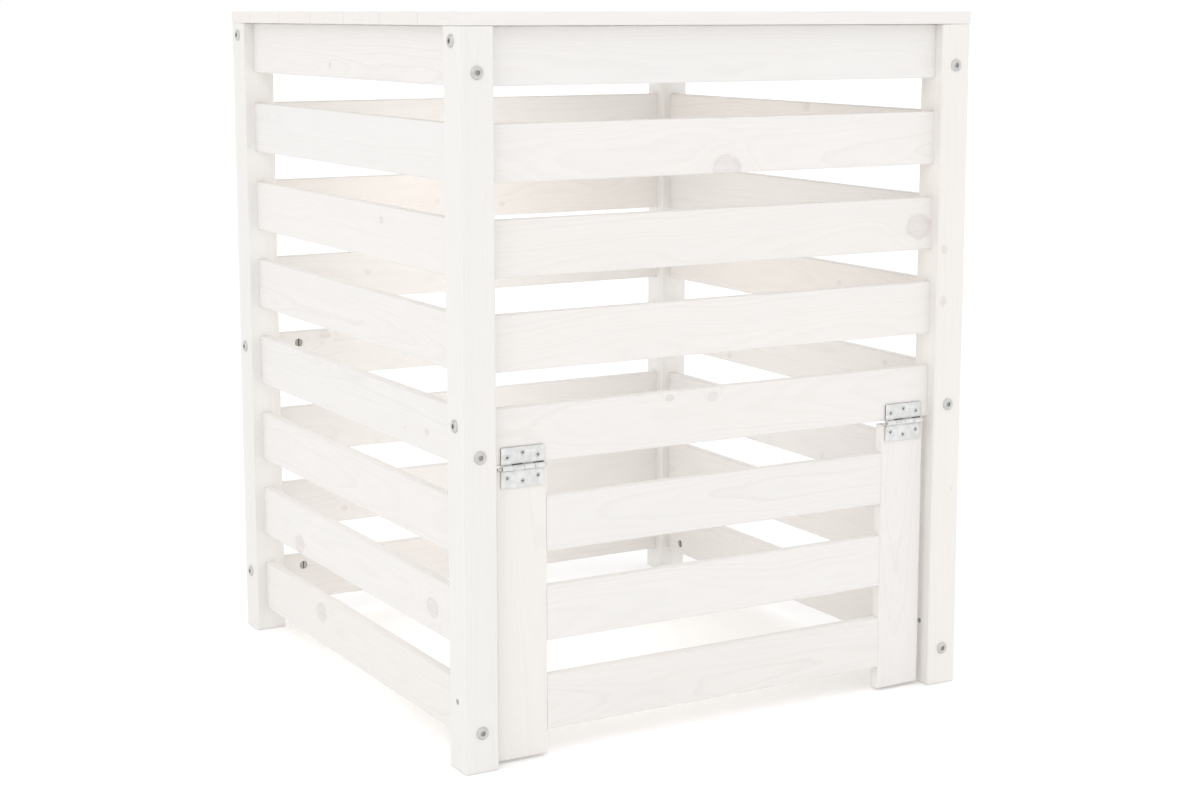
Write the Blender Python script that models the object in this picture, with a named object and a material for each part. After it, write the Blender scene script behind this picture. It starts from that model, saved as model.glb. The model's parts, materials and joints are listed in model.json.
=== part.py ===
"""Slatted wooden compost bin: four corner posts, four slatted walls, a lid that
lifts off and a door flap at the bottom of the front wall.

Frame: metres, +Z up, origin on the ground in the middle of the footprint.
Front (door side) faces -Y, left faces -X.  Slats are numbered from the top.
"""
import bpy
import bmesh
from math import cos, sin, pi
from mathutils import Matrix, Vector

# ------------------------------------------------------------------ dimensions
WIDTH = 0.635            # X, over the outer faces of the posts
DEPTH = 0.635            # Y, over the outer faces of the posts
HEIGHT = 0.775           # ground to top of lid
GAP = 0.0003             # clearance between touching pieces

LID_T = 0.0137           # lid boards
POST_X = 0.038           # post section along X
POST_Y = 0.038           # post section along Y
POST_H = HEIGHT - LID_T - GAP
POST_EDGE = 0.0030       # rounded upright edges

SLAT_H = 0.059           # slat stock, also used for the lid battens
SLAT_T = 0.012
SLAT_PITCH = 0.0962
SLAT_BOTTOM = 0.0282     # underside of the lowest slat
SLAT_COUNT = 8
SLAT_EDGE = 0.0015
HOUSING = 0.008          # depth of the blind housings in the posts

BOLTED = (1, 5, 8)       # slats drawn to the posts by bolts, counted from the top
FRONT_SLATS = 5          # fixed slats in the front wall, the door takes the rest
BOLT_HOLE_R = 0.0033
BOLT_OFFSET = 0.0155     # bolts along X sit above the slat's centre, along Y below
NUT_HOLE_R = 0.0051
NUT_HOLE_D = 0.0102      # blind, from the inner face
NUT_FROM_OUTSIDE = 0.0685

DOOR_SIDE_GAP = 0.0068   # between a stile and its post
STILE_W = 0.057
STILE_BOTTOM = 0.003
TENON_L = 0.012
TENON_T = 0.005
TENON_H = 0.039

HINGE_LEN = 0.050
HINGE_LEAF = 0.0213      # from pin centre to the free edge of a leaf
HINGE_T = 0.0012
KNUCKLE_R = 0.0030
KNUCKLES = 4
KNUCKLE_CLEAR = 0.00015
PIN_R = 0.0013
PIN_BORE_R = 0.0016
PIN_OUT_LEFT = 0.0050
PIN_OUT_RIGHT = 0.0020
LEAF_START = 0.0037      # a leaf's plate begins this far from the pin centre
SCREW_HOLE_R = 0.0019
SCREW_OUTER = (0.0178, 0.0108)
SCREW_MIDDLE = 0.0148

LID_BOARD = 0.095
LID_SEAM = 0.0006
LID_BOARDS = 7
LID_EDGE = 0.0012
BATTEN_X = 0.2605        # centre of a batten, left or right
BATTEN_L = 0.552

# ------------------------------------------------------------------ derived
SLAT_CX = WIDTH / 2 - POST_X / 2       # centre of the side slats
SLAT_CY = DEPTH / 2 - POST_Y / 2       # centre of the front and rear slats
CLEAR_X = WIDTH - 2 * POST_X
CLEAR_Y = DEPTH - 2 * POST_Y
FRONT_FACE = -SLAT_CY - SLAT_T / 2
SLAT5_UNDER = SLAT_BOTTOM + 3 * SLAT_PITCH
HINGE_Z = SLAT5_UNDER - 0.0028
STILE_TOP_Z = SLAT5_UNDER - 0.0048
HINGE_Y = FRONT_FACE - GAP - KNUCKLE_R
STILE_CX = CLEAR_X / 2 - DOOR_SIDE_GAP - STILE_W / 2
DOOR_CLEAR = 2 * (STILE_CX - STILE_W / 2)
LID_UNDER = HEIGHT - LID_T

WOOD = (0.86, 0.835, 0.80)
ZINC = (0.62, 0.63, 0.62)


def slat_bottom(number):
    """Underside of a slat, numbered from the top."""
    return SLAT_BOTTOM + (SLAT_COUNT - number) * SLAT_PITCH


def slat_centre(number):
    return slat_bottom(number) + SLAT_H / 2


# ------------------------------------------------------------------ scene
for old in list(bpy.data.objects):
    bpy.data.objects.remove(old, do_unlink=True)

parts = bpy.data.collections.new("compost_bin")
cutters = bpy.data.collections.new("compost_bin_cutters")
bpy.context.scene.collection.children.link(parts)
bpy.context.scene.collection.children.link(cutters)


def material(name, colour, roughness, metallic):
    mat = bpy.data.materials.new(name)
    mat.use_nodes = True
    shader = mat.node_tree.nodes["Principled BSDF"]
    shader.inputs["Base Color"].default_value = (*colour, 1.0)
    shader.inputs["Roughness"].default_value = roughness
    shader.inputs["Metallic"].default_value = metallic
    mat.diffuse_color = (*colour, 1.0)
    return mat


def link_part(name, mesh, location, colour, roughness, metallic, parent=None):
    obj = bpy.data.objects.new(name, mesh)
    obj.location = Vector(location)
    if parent is not None:
        obj.location = Vector(location) - parent.location
        obj.parent = parent
    mesh.materials.clear()
    mesh.materials.append(material(name + "_finish", colour, roughness, metallic))
    parts.objects.link(obj)
    return obj


def link_cutter(name, mesh, location, parent=None):
    obj = bpy.data.objects.new(name, mesh)
    obj.location = Vector(location)
    if parent is not None:
        obj.location = Vector(location) - parent.location
        obj.parent = parent
    obj.hide_render = True
    obj.display_type = "WIRE"
    cutters.objects.link(obj)
    return obj


def boolean(obj, operand, operation):
    mod = obj.modifiers.new(operation.lower() + "_" + operand.name, "BOOLEAN")
    mod.operation = operation
    mod.solver = "EXACT"
    mod.object = operand
    return mod


def axis_matrix(axis):
    """Turns a cylinder's own Z onto X, Y or Z."""
    if axis == "X":
        return Matrix.Rotation(pi / 2, 4, "Y")
    if axis == "Y":
        return Matrix.Rotation(-pi / 2, 4, "X")
    return Matrix.Identity(4)


def add_cylinder(bm, radius, length, axis, centre, segments):
    turn = Matrix.Rotation(pi / segments, 4, "Z")
    bmesh.ops.create_cone(
        bm,
        cap_ends=True,
        segments=segments,
        radius1=radius,
        radius2=radius,
        depth=length,
        matrix=Matrix.Translation(centre) @ axis_matrix(axis) @ turn,
    )


def add_box(bm, size, centre):
    made = bmesh.ops.create_cube(bm, size=1.0)
    bmesh.ops.scale(bm, vec=size, verts=made["verts"])
    bmesh.ops.translate(bm, vec=centre, verts=made["verts"])


def finish_mesh(bm, name):
    mesh = bpy.data.meshes.new(name)
    bm.to_mesh(mesh)
    bm.free()
    return mesh


def board_mesh(name, size, along, edge, segments=1):
    """A board about its own centre with its long edges eased."""
    bm = bmesh.new()
    add_box(bm, size, (0, 0, 0))
    axis = Vector((along == "X", along == "Y", along == "Z"))
    long_edges = [
        e for e in bm.edges
        if abs((e.verts[0].co - e.verts[1].co).normalized().dot(axis)) > 0.99
    ]
    bmesh.ops.bevel(
        bm, geom=long_edges, offset=edge, segments=segments,
        profile=0.5, affect="EDGES", clamp_overlap=True,
    )
    return finish_mesh(bm, name)


def tint(base, step):
    """A slightly different tone for each board."""
    shift = 0.012 * sin(2.4 * step)
    return tuple(min(1.0, c + shift) for c in base)


# ------------------------------------------------------------------ posts
def make_post(name, sx, sy, step):
    """A post with its bolt holes and the blind housings for the glued slats.

    sx is -1 on the left and 1 on the right, sy is -1 in front and 1 behind.
    """
    cx = sx * (WIDTH / 2 - POST_X / 2)
    cy = sy * (DEPTH / 2 - POST_Y / 2)
    mesh = board_mesh(name, (POST_X, POST_Y, POST_H), "Z", POST_EDGE, 3)
    post = link_part(name, mesh, (cx, cy, POST_H / 2), tint(WOOD, step), 0.6, 0.0)

    bm = bmesh.new()
    for number in BOLTED:
        z = slat_centre(number) - POST_H / 2
        add_cylinder(bm, BOLT_HOLE_R, POST_Y * 1.5, "Y", (0, 0, z - BOLT_OFFSET), 12)
        add_cylinder(bm, BOLT_HOLE_R, POST_X * 1.5, "X", (0, 0, z + BOLT_OFFSET), 12)
    boolean(post, link_cutter(name + "_bolt_holes", finish_mesh(bm, name + "_bolt_holes"), (cx, cy, POST_H / 2)), "DIFFERENCE")

    bm = bmesh.new()
    reach = HOUSING * 2
    for number in range(1, SLAT_COUNT + 1):
        if number in BOLTED:
            continue
        z = slat_centre(number) - POST_H / 2
        add_box(
            bm,
            (SLAT_T + 2 * GAP, reach, SLAT_H + 2 * GAP),
            (0, -sy * (POST_Y / 2), z),
        )
        if sy > 0 or number <= FRONT_SLATS:
            add_box(
                bm,
                (reach, SLAT_T + 2 * GAP, SLAT_H + 2 * GAP),
                (-sx * (POST_X / 2), 0, z),
            )
    boolean(post, link_cutter(name + "_housings", finish_mesh(bm, name + "_housings"), (cx, cy, POST_H / 2)), "DIFFERENCE")
    return post


make_post("post_front_left", -1, -1, 1)
make_post("post_front_right", 1, -1, 2)
make_post("post_rear_left", -1, 1, 3)
make_post("post_rear_right", 1, 1, 4)


# ------------------------------------------------------------------ wall slats
def make_slat(name, along, number, across, inward, step):
    """A wall slat.  along is X or Y, across its fixed coordinate, and inward the
    sign that points from the wall to the middle of the bin."""
    clear, post = (CLEAR_X, POST_X) if along == "X" else (CLEAR_Y, POST_Y)
    bolted = number in BOLTED
    length = clear - 2 * GAP if bolted else clear + 2 * (HOUSING - GAP)
    z = slat_centre(number)
    if along == "X":
        size, centre = (length, SLAT_T, SLAT_H), (0, across, z)
    else:
        size, centre = (SLAT_T, length, SLAT_H), (across, 0, z)
    slat = link_part(name, board_mesh(name, size, along, SLAT_EDGE), centre, tint(WOOD, step), 0.6, 0.0)
    if not bolted:
        return slat

    rise = BOLT_OFFSET if along == "X" else -BOLT_OFFSET
    nut = NUT_FROM_OUTSIDE - post            # from the post's face to the nut
    depth = nut + 0.008
    bolt_holes, nut_holes = bmesh.new(), bmesh.new()
    for end in (-1, 1):
        at_end = end * clear / 2
        mid = at_end - end * (depth / 2 - 0.002)
        at_nut = at_end - end * nut
        # the nut's hole starts 1 mm inside the bin and ends NUT_HOLE_D deep
        off = inward * (SLAT_T / 2 - NUT_HOLE_D / 2 + 0.0005)
        if along == "X":
            add_cylinder(bolt_holes, BOLT_HOLE_R, depth + 0.004, "X", (mid, 0, rise), 12)
            add_cylinder(nut_holes, NUT_HOLE_R, NUT_HOLE_D + 0.001, "Y", (at_nut, off, rise), 16)
        else:
            add_cylinder(bolt_holes, BOLT_HOLE_R, depth + 0.004, "Y", (0, mid, rise), 12)
            add_cylinder(nut_holes, NUT_HOLE_R, NUT_HOLE_D + 0.001, "X", (off, at_nut, rise), 16)
    boolean(slat, link_cutter(name + "_bolt_holes", finish_mesh(bolt_holes, name + "_bolt_holes"), centre), "DIFFERENCE")
    boolean(slat, link_cutter(name + "_nut_holes", finish_mesh(nut_holes, name + "_nut_holes"), centre), "DIFFERENCE")
    return slat


for n in range(1, SLAT_COUNT + 1):
    make_slat(f"slat_left_{n}", "Y", n, -SLAT_CX, 1, 5 + n)
    make_slat(f"slat_right_{n}", "Y", n, SLAT_CX, -1, 15 + n)
    make_slat(f"slat_rear_{n}", "X", n, SLAT_CY, -1, 25 + n)
    if n <= FRONT_SLATS:
        make_slat(f"slat_front_{n}", "X", n, -SLAT_CY, 1, 35 + n)

# ------------------------------------------------------------------ door flap
door_axis = bpy.data.objects.new("door_axis", None)
door_axis.location = (0, HINGE_Y, HINGE_Z)
door_axis.empty_display_size = 0.05
parts.objects.link(door_axis)

stile_h = STILE_TOP_Z - STILE_BOTTOM
stile_cz = (STILE_TOP_Z + STILE_BOTTOM) / 2
for side, sx in (("left", -1), ("right", 1)):
    name = "door_stile_" + side
    mesh = board_mesh(name, (STILE_W, SLAT_T, stile_h), "Z", SLAT_EDGE)
    centre = (sx * STILE_CX, -SLAT_CY, stile_cz)
    stile = link_part(name, mesh, centre, tint(WOOD, 50 + sx), 0.6, 0.0, door_axis)
    bm = bmesh.new()
    for n in range(FRONT_SLATS + 1, SLAT_COUNT + 1):
        add_box(
            bm,
            (2 * TENON_L, TENON_T + 2 * GAP, TENON_H + 2 * GAP),
            (-sx * STILE_W / 2, 0, slat_centre(n) - stile_cz),
        )
    boolean(stile, link_cutter(name + "_mortises", finish_mesh(bm, name + "_mortises"), centre, door_axis), "DIFFERENCE")

for n in range(FRONT_SLATS + 1, SLAT_COUNT + 1):
    name = f"door_slat_{n - FRONT_SLATS}"
    centre = (0, -SLAT_CY, slat_centre(n))
    mesh = board_mesh(name, (DOOR_CLEAR - 2 * GAP, SLAT_T, SLAT_H), "X", SLAT_EDGE)
    slat = link_part(name, mesh, centre, tint(WOOD, 55 + n), 0.6, 0.0, door_axis)
    bm = bmesh.new()
    tenon = TENON_L - GAP
    for sx in (-1, 1):
        # each tenon starts inside the slat so that the two fuse
        add_box(
            bm,
            (tenon + 0.010, TENON_T, TENON_H),
            (sx * (DOOR_CLEAR / 2 + tenon / 2 - 0.005), 0, 0),
        )
    boolean(slat, link_cutter(name + "_tenons", finish_mesh(bm, name + "_tenons"), centre, door_axis), "UNION")


# ------------------------------------------------------------------ hinges
def leaf_plate(name, up):
    """Flat plate of a hinge leaf with its three screw holes.

    Drawn as a filled 2D curve in X and Y, then stood up so that its back faces
    +Y.  up is 1 for the leaf above the pin and -1 for the one below.
    """
    half = HINGE_LEN / 2
    outline = [(-half, LEAF_START), (half, LEAF_START), (half, HINGE_LEAF), (-half, HINGE_LEAF)]

    curve = bpy.data.curves.new(name + "_outline", "CURVE")
    curve.dimensions = "2D"
    curve.fill_mode = "BOTH"
    curve.extrude = HINGE_T / 2

    def loop(points):
        spline = curve.splines.new("POLY")
        spline.points.add(len(points) - 1)
        for point, (x, y) in zip(spline.points, points):
            point.co = (x, up * y, 0, 1)
        spline.use_cyclic_u = True

    loop(outline)
    for hx, hy in (
        (-SCREW_OUTER[0], SCREW_OUTER[1]),
        (0.0, SCREW_MIDDLE),
        (SCREW_OUTER[0], SCREW_OUTER[1]),
    ):
        loop([
            (hx + SCREW_HOLE_R * cos(2 * pi * i / 12), hy + SCREW_HOLE_R * sin(2 * pi * i / 12))
            for i in range(12)
        ])
    drawn = bpy.data.objects.new(name + "_drawn", curve)
    cutters.objects.link(drawn)
    stand = Matrix.Rotation(pi / 2, 4, "X")
    drawn.matrix_world = Matrix.Translation((0, KNUCKLE_R - HINGE_T / 2, 0)) @ stand
    bpy.context.view_layer.update()
    graph = bpy.context.evaluated_depsgraph_get()
    mesh = bpy.data.meshes.new_from_object(drawn.evaluated_get(graph))
    mesh.transform(drawn.matrix_world)
    bpy.data.objects.remove(drawn, do_unlink=True)
    bm = bmesh.new()
    bm.from_mesh(mesh)
    bmesh.ops.remove_doubles(bm, verts=bm.verts, dist=1e-6)
    bmesh.ops.recalc_face_normals(bm, faces=bm.faces)
    bm.to_mesh(mesh)
    bm.free()
    mesh.name = name
    return mesh


def knuckle_span(k):
    """Both ends of knuckle k along the pin."""
    step = HINGE_LEN / KNUCKLES
    x0 = -HINGE_LEN / 2 + k * step + (KNUCKLE_CLEAR if k else 0.0)
    x1 = -HINGE_LEN / 2 + (k + 1) * step - (KNUCKLE_CLEAR if k < KNUCKLES - 1 else 0.0)
    return x0, x1


def make_leaf(name, centre, up, own, parent):
    """A leaf: plate, the straps that run from it to its own knuckles, the
    knuckles, and the pin's bore through them."""
    leaf = link_part(name, leaf_plate(name, up), centre, ZINC, 0.38, 1.0, parent)
    straps, barrels, bore = bmesh.new(), bmesh.new(), bmesh.new()
    for k in own:
        x0, x1 = knuckle_span(k)
        reach = LEAF_START + 0.0012
        add_box(
            straps,
            (x1 - x0 - 0.0002, HINGE_T - 0.0001, reach),
            ((x0 + x1) / 2, KNUCKLE_R - HINGE_T / 2, up * reach / 2),
        )
        add_cylinder(barrels, KNUCKLE_R, x1 - x0, "X", ((x0 + x1) / 2, 0, 0), 20)
    add_cylinder(bore, PIN_BORE_R, HINGE_LEN * 1.2, "X", (0, 0, 0), 16)
    for label, bm, operation in (
        ("_straps", straps, "UNION"),
        ("_knuckles", barrels, "UNION"),
        ("_bore", bore, "DIFFERENCE"),
    ):
        boolean(leaf, link_cutter(name + label, finish_mesh(bm, name + label), centre, parent), operation)
    return leaf


def make_pin(name, centre):
    bm = bmesh.new()
    length = HINGE_LEN + PIN_OUT_LEFT + PIN_OUT_RIGHT
    add_cylinder(bm, PIN_R, length, "X", ((PIN_OUT_RIGHT - PIN_OUT_LEFT) / 2, 0, 0), 16)
    rims = [
        e for e in bm.edges
        if abs((e.verts[0].co - e.verts[1].co).x) < 1e-7
    ]
    bmesh.ops.bevel(bm, geom=rims, offset=0.0003, segments=1, profile=0.5, affect="EDGES")
    return link_part(name, finish_mesh(bm, name), centre, ZINC, 0.3, 1.0)


for side, sx in (("left", -1), ("right", 1)):
    centre = (sx * STILE_CX, HINGE_Y, HINGE_Z)
    make_leaf(f"hinge_{side}_upper_leaf", centre, 1, (0, 2), None)
    make_leaf(f"hinge_{side}_lower_leaf", centre, -1, (1, 3), door_axis)
    make_pin(f"hinge_{side}_pin", centre)

# ------------------------------------------------------------------ lid
lid_axis = bpy.data.objects.new("lid_axis", None)
lid_axis.location = (0, 0, LID_UNDER)
lid_axis.empty_display_type = "SINGLE_ARROW"
lid_axis.empty_display_size = 0.1
parts.objects.link(lid_axis)

front = -DEPTH / 2
for n in range(1, LID_BOARDS + 1):
    y0 = front + (n - 1) * (LID_BOARD + LID_SEAM)
    y1 = DEPTH / 2 if n == LID_BOARDS else y0 + LID_BOARD
    name = f"lid_board_{n}"
    mesh = board_mesh(name, (WIDTH, y1 - y0, LID_T), "X", LID_EDGE)
    link_part(name, mesh, (0, (y0 + y1) / 2, LID_UNDER + LID_T / 2), tint(WOOD, 70 + n), 0.6, 0.0, lid_axis)

for side, sx in (("left", -1), ("right", 1)):
    name = "lid_batten_" + side
    mesh = board_mesh(name, (SLAT_H, BATTEN_L, SLAT_T), "Y", SLAT_EDGE)
    link_part(name, mesh, (sx * BATTEN_X, 0, LID_UNDER - GAP - SLAT_T / 2), tint(WOOD, 80 + sx), 0.6, 0.0, lid_axis)
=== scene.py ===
"""Looks of the slatted compost bin: white-stained pine boards, zinc hinges and fasteners.

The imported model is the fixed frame.  Every board is rebuilt with eased, slightly
worn arrises inside the box of the CAD node that it stands for.
Lengths are metres; the wood's own coordinates, kept as vertex attributes, are mm.
"""

import json
import math
import random

import bmesh
import bpy
import numpy as np
from mathutils import Matrix, Vector, noise

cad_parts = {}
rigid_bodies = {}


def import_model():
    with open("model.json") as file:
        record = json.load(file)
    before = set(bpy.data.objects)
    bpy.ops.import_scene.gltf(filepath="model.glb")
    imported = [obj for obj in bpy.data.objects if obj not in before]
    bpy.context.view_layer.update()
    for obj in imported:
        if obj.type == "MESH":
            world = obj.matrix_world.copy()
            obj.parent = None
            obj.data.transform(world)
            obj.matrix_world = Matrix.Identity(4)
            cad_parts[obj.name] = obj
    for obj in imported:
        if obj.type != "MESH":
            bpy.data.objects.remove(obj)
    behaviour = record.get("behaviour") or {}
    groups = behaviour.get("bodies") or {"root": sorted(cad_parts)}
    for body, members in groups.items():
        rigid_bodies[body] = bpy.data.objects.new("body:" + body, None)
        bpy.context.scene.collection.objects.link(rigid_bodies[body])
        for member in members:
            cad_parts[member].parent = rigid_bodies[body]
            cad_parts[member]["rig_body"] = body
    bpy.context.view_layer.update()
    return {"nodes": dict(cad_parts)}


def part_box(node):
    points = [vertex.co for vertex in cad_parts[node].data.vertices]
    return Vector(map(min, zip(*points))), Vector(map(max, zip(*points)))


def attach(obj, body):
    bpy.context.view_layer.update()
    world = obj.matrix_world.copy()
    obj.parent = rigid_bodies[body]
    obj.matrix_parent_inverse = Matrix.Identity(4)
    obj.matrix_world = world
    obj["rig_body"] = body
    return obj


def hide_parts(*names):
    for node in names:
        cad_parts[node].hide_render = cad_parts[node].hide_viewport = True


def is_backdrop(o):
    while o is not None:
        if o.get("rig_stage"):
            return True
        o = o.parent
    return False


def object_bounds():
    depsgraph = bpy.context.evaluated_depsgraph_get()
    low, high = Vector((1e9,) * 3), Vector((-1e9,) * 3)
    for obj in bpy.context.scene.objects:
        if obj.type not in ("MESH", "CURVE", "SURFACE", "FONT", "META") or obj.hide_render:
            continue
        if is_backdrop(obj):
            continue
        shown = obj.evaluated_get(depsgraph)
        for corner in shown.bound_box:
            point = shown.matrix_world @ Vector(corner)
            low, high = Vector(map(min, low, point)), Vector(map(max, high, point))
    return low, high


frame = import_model()

MM = 0.001

# ------------------------------------------------------------------ sizes shared with the CAD
WIDTH = DEPTH = 0.635
POST_X, POST_Y = 0.038, 0.038
CLEAR_X, CLEAR_Y = WIDTH - 2 * POST_X, DEPTH - 2 * POST_Y
SLAT_H, SLAT_T = 0.059, 0.012
SLAT_PITCH, SLAT_BOTTOM, SLAT_COUNT, FRONT_SLATS = 0.0962, 0.0282, 8, 5
SLAT_CX, SLAT_CY = 0.2985, 0.2985
GAP = 0.0003
TIGHT = 0.00025           # how much of a joint's clearance a board takes up at each end
HOUSING = 0.008
BOLTED = (1, 5, 8)
BOLT_OFFSET = 0.0155
BOLT_HOLE_R = 0.0033
NUT_HOLE_R, NUT_HOLE_D, NUT_FROM_OUTSIDE = 0.0051, 0.0102, 0.0685
TENON_L, TENON_T, TENON_H = 0.012, 0.005, 0.039
STILE_IN = 0.2157          # inner edge of a stile, from the middle
HINGE_X, HINGE_Y, HINGE_Z = 0.2442, -0.3078, 0.3140
HINGE_LEN, HINGE_LEAF, HINGE_T, LEAF_START = 0.050, 0.0213, 0.0012, 0.0037
KNUCKLE_R, KNUCKLE_CLEAR, PIN_R, PIN_BORE_R = 0.0030, 0.00015, 0.0013, 0.0016
SCREW_SPOTS = ((-0.0178, 0.0108), (0.0, 0.0148), (0.0178, 0.0108))
LID_TOP = 0.775


def slat_centre(number):
    return SLAT_BOTTOM + (SLAT_COUNT - number) * SLAT_PITCH + SLAT_H / 2


# ------------------------------------------------------------------ node helpers
class Nodes:
    """Short forms for building a shader tree."""

    def __init__(self, tree):
        self.tree = tree

    def new(self, kind, **props):
        node = self.tree.nodes.new(kind)
        for key, value in props.items():
            setattr(node, key, value)
        return node

    def put(self, socket, value):
        if isinstance(value, bpy.types.NodeSocket):
            self.tree.links.new(value, socket)
        else:
            socket.default_value = value

    def attr(self, name):
        return self.new("ShaderNodeAttribute", attribute_name=name).outputs["Vector"]

    def split(self, vector):
        node = self.new("ShaderNodeSeparateXYZ")
        self.put(node.inputs[0], vector)
        return node.outputs[0], node.outputs[1], node.outputs[2]

    def join(self, x, y, z):
        node = self.new("ShaderNodeCombineXYZ")
        for socket, value in zip(node.inputs, (x, y, z)):
            self.put(socket, value)
        return node.outputs[0]

    def math(self, op, a, b=0.0, c=0.0, clamp=False):
        node = self.new("ShaderNodeMath", operation=op, use_clamp=clamp)
        self.put(node.inputs[0], a)
        self.put(node.inputs[1], b)
        self.put(node.inputs[2], c)
        return node.outputs[0]

    def add(self, a, b):
        return self.math("ADD", a, b)

    def sub(self, a, b):
        return self.math("SUBTRACT", a, b)

    def mul(self, a, b):
        return self.math("MULTIPLY", a, b)

    def div(self, a, b):
        return self.math("DIVIDE", a, b)

    def low(self, a, b):
        return self.math("MINIMUM", a, b)

    def high(self, a, b):
        return self.math("MAXIMUM", a, b)

    def step(self, value, lo, hi, to_lo=0.0, to_hi=1.0):
        """Smooth step from to_lo at lo to to_hi at hi."""
        node = self.new("ShaderNodeMapRange", interpolation_type="SMOOTHSTEP")
        self.put(node.inputs["Value"], value)
        for key, number in (("From Min", lo), ("From Max", hi), ("To Min", to_lo), ("To Max", to_hi)):
            self.put(node.inputs[key], number)
        return node.outputs["Result"]

    def bell(self, value, width):
        """exp(-(value / width)^2)"""
        t = self.div(value, width)
        return self.math("EXPONENT", self.mul(self.mul(t, t), -1.0))

    def scaled(self, vector, factors):
        node = self.new("ShaderNodeVectorMath", operation="MULTIPLY")
        self.put(node.inputs[0], vector)
        self.put(node.inputs[1], factors)
        return node.outputs[0]

    def noise(self, vector, detail=2.0, rough=0.5, scale=1.0, colour=False, distortion=0.0):
        node = self.new("ShaderNodeTexNoise", noise_dimensions="3D")
        self.put(node.inputs["Vector"], vector)
        node.inputs["Scale"].default_value = scale
        node.inputs["Detail"].default_value = detail
        node.inputs["Roughness"].default_value = rough
        node.inputs["Distortion"].default_value = distortion
        return node.outputs["Color" if colour else 0]

    def noise1(self, value, detail=0.0):
        node = self.new("ShaderNodeTexNoise", noise_dimensions="1D")
        self.put(node.inputs["W"], value)
        node.inputs["Scale"].default_value = 1.0
        node.inputs["Detail"].default_value = detail
        return node.outputs[0]

    def mix(self, factor, a, b, blend="MIX"):
        node = self.new("ShaderNodeMix", data_type="RGBA", blend_type=blend)
        self.put(node.inputs[0], factor)
        for socket, value in ((node.inputs[6], a), (node.inputs[7], b)):
            if isinstance(value, tuple):
                value = (*value, 1.0)
            self.put(socket, value)
        return node.outputs[2]


def start_material(name):
    mat = bpy.data.materials.new(name)
    mat.use_nodes = True
    shader = mat.node_tree.nodes["Principled BSDF"]
    return mat, Nodes(mat.node_tree), shader


# ------------------------------------------------------------------ painted pine
KNOTS = 4


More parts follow.
